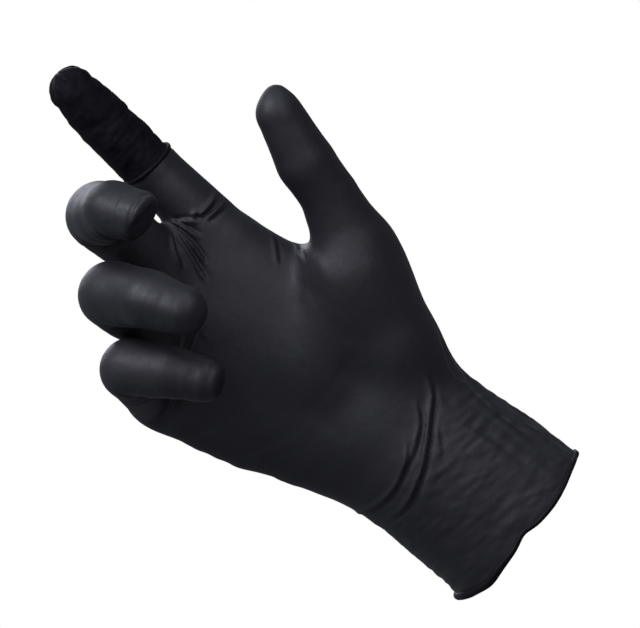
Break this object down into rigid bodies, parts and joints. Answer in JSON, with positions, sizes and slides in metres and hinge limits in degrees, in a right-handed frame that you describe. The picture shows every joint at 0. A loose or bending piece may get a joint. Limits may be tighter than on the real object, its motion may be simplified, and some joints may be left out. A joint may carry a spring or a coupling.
{
  "type": "disposable glove",
  "caption": "Thin black film glove in a worn, pointing shape, with a rolled cuff and a matt finger cot over the index finger; every finger bends.",
  "frame": {"origin": "centre of the cuff's mouth, at the height of the rolled edge's two sides", "axes": "+Z from the cuff to the fingers, the palm faces -Y, the thumb points to +X (a right hand)"},
  "size_m": [0.1301, 0.097, 0.2454],
  "materials": {
    "glove_film": "satin",
    "cot_film": "matte"
  },
  "bodies": {
    "cuff": {"cuff_bead": "glove_film", "cuff": "glove_film"},
    "palm": {"palm": "glove_film"},
    "index_base": {"index_base_segment": "glove_film"},
    "index_middle": {"index_middle_segment": "glove_film", "cot_rim": "cot_film", "cot_sleeve": "cot_film"},
    "index_tip": {"index_tip_segment": "glove_film", "cot_tip": "cot_film"},
    "middle_base": {"middle_base_segment": "glove_film"},
    "middle_middle": {"middle_middle_segment": "glove_film"},
    "middle_tip": {"middle_tip_segment": "glove_film"},
    "ring_base": {"ring_base_segment": "glove_film"},
    "ring_middle": {"ring_middle_segment": "glove_film"},
    "ring_tip": {"ring_tip_segment": "glove_film"},
    "little_base": {"little_base_segment": "glove_film"},
    "little_middle": {"little_middle_segment": "glove_film"},
    "little_tip": {"little_tip_segment": "glove_film"},
    "thumb_base": {"thumb_base_segment": "glove_film"},
    "thumb_middle": {"thumb_middle_segment": "glove_film"},
    "thumb_tip": {"thumb_tip_segment": "glove_film"}
  },
  "joints": [
    {"name": "wrist_bend", "type": "hinge", "parent": "cuff", "child": "palm", "pos_m": [-0.001, 0, 0.05], "axis": [1, 0, 0], "range_deg": [-35, 35]},
    {"name": "index_knuckle", "type": "hinge", "parent": "palm", "child": "index_base", "pos_m": [0.011, 0.004, 0.148], "axis": [0.9384, 0.342, -0.0492], "range_deg": [-13, 67]},
    {"name": "index_middle_joint", "type": "hinge", "parent": "index_base", "child": "index_middle", "pos_m": [0.0137, 0.00211, 0.18636], "axis": [0.9384, 0.342, -0.0492], "range_deg": [-4, 86]},
    {"name": "index_end_joint", "type": "hinge", "parent": "index_middle", "child": "index_tip", "pos_m": [0.01613, -0.00087, 0.21207], "axis": [0.9384, 0.342, -0.0492], "range_deg": [-2.01, 43.01]},
    {"name": "middle_knuckle", "type": "hinge", "parent": "palm", "child": "middle_base", "pos_m": [-0.011, 0.002, 0.149], "axis": [0.9744, 0.2079, 0.0853], "range_deg": [-31, 49]},
    {"name": "middle_middle_joint", "type": "hinge", "parent": "middle_base", "child": "middle_middle", "pos_m": [-0.01132, -0.01377, 0.19114], "axis": [0.9744, 0.2079, 0.0853], "range_deg": [-75, 15]},
    {"name": "middle_end_joint", "type": "hinge", "parent": "middle_middle", "child": "middle_tip", "pos_m": [-0.0053, -0.04101, 0.18873], "axis": [0.9744, 0.2079, 0.0853], "range_deg": [-20.01, 4.01]},
    {"name": "ring_knuckle", "type": "hinge", "parent": "palm", "child": "ring_base", "pos_m": [-0.0315, 0.001, 0.141], "axis": [0.9491, 0.2079, 0.2366], "range_deg": [-60, 20]},
    {"name": "ring_middle_joint", "type": "hinge", "parent": "ring_base", "child": "ring_middle", "pos_m": [-0.03154, -0.03122, 0.16948], "axis": [0.9491, 0.2079, 0.2366], "range_deg": [-73, 17]},
    {"name": "ring_end_joint", "type": "hinge", "parent": "ring_middle", "child": "ring_tip", "pos_m": [-0.02372, -0.05255, 0.15683], "axis": [0.9491, 0.2079, 0.2366], "range_deg": [-23.68, 5.52]},
    {"name": "little_knuckle", "type": "hinge", "parent": "palm", "child": "little_base", "pos_m": [-0.0515, -0.002, 0.13], "axis": [0.8986, 0.2924, 0.3271], "range_deg": [-75, 5]},
    {"name": "little_middle_joint", "type": "hinge", "parent": "little_base", "child": "little_middle", "pos_m": [-0.04795, -0.03147, 0.14658], "axis": [0.8986, 0.2924, 0.3271], "range_deg": [-75, 15]},
    {"name": "little_end_joint", "type": "hinge", "parent": "little_middle", "child": "little_tip", "pos_m": [-0.03918, -0.04376, 0.13347], "axis": [0.8986, 0.2924, 0.3271], "range_deg": [-19.24, 3.86]},
    {"name": "thumb_saddle", "type": "hinge", "parent": "palm", "child": "thumb_base", "pos_m": [0.02, -0.008, 0.07], "axis": [-0.5924, 0.7002, 0.3984], "range_deg": [-15, 15]},
    {"name": "thumb_middle_joint", "type": "hinge", "parent": "thumb_base", "child": "thumb_middle", "pos_m": [0.04062, -0.01461, 0.11228], "axis": [-0.5924, 0.7002, 0.3984], "range_deg": [-41, 9]},
    {"name": "thumb_end_joint", "type": "hinge", "parent": "thumb_middle", "child": "thumb_tip", "pos_m": [0.05223, -0.0235, 0.14517], "axis": [-0.5924, 0.7002, 0.3984], "range_deg": [-71, 4]}
  ],
  "couplings": [
    {"joint": "index_end_joint", "follows": "index_middle_joint", "ratio": 0.5},
    {"joint": "middle_end_joint", "follows": "middle_middle_joint", "ratio": 0.2667},
    {"joint": "ring_end_joint", "follows": "ring_middle_joint", "ratio": 0.3243},
    {"joint": "little_end_joint", "follows": "little_middle_joint", "ratio": 0.2564}
  ]
}
